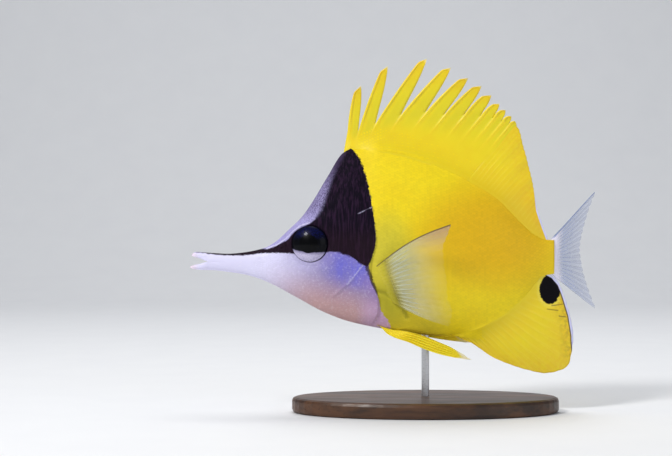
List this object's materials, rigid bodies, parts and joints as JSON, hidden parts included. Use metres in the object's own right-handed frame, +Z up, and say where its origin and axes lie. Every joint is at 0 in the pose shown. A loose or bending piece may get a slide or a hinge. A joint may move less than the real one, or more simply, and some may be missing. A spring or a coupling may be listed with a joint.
{
  "type": "longnose butterflyfish",
  "caption": "Life-size longnose butterflyfish as a still display model: a tall thin yellow body, dark face and long pale snout, held level by one rod on an oval base.",
  "frame": {"origin": "middle of the underside of the stand's base", "axes": "+Z up, -X towards the fish's snout, -Y towards the fish's left side"},
  "size_m": [0.1603, 0.058, 0.1378],
  "materials": {
    "yellow_skin": "smooth wet-looking scaled skin",
    "head_skin": "dark brown-violet above, silvery lilac below",
    "jaw_skin": "pale lilac-white skin",
    "yellow_fin": "yellow membrane over raised rays",
    "clear_fin": "thin clear membrane over fine pale rays",
    "eye_gloss": "polished dark eye",
    "base_wood": "satin dark wood",
    "rod_steel": "brushed rod"
  },
  "bodies": {
    "root": {"head": "head_skin", "snout": "head_skin", "upper_jaw": "jaw_skin", "lower_jaw": "jaw_skin", "trunk": "yellow_skin", "tail_stalk": "yellow_skin", "eye_left": "eye_gloss", "eye_right": "eye_gloss", "dorsal_fin_spiny": "yellow_fin", "dorsal_fin_soft": "yellow_fin", "anal_fin": "yellow_fin", "tail_fin": "clear_fin", "pectoral_fin_left": "clear_fin", "pectoral_fin_right": "clear_fin", "pelvic_fin_left": "yellow_fin", "pelvic_fin_right": "yellow_fin", "stand_base": "base_wood", "stand_rod": "rod_steel"}
  },
  "joints": []
}
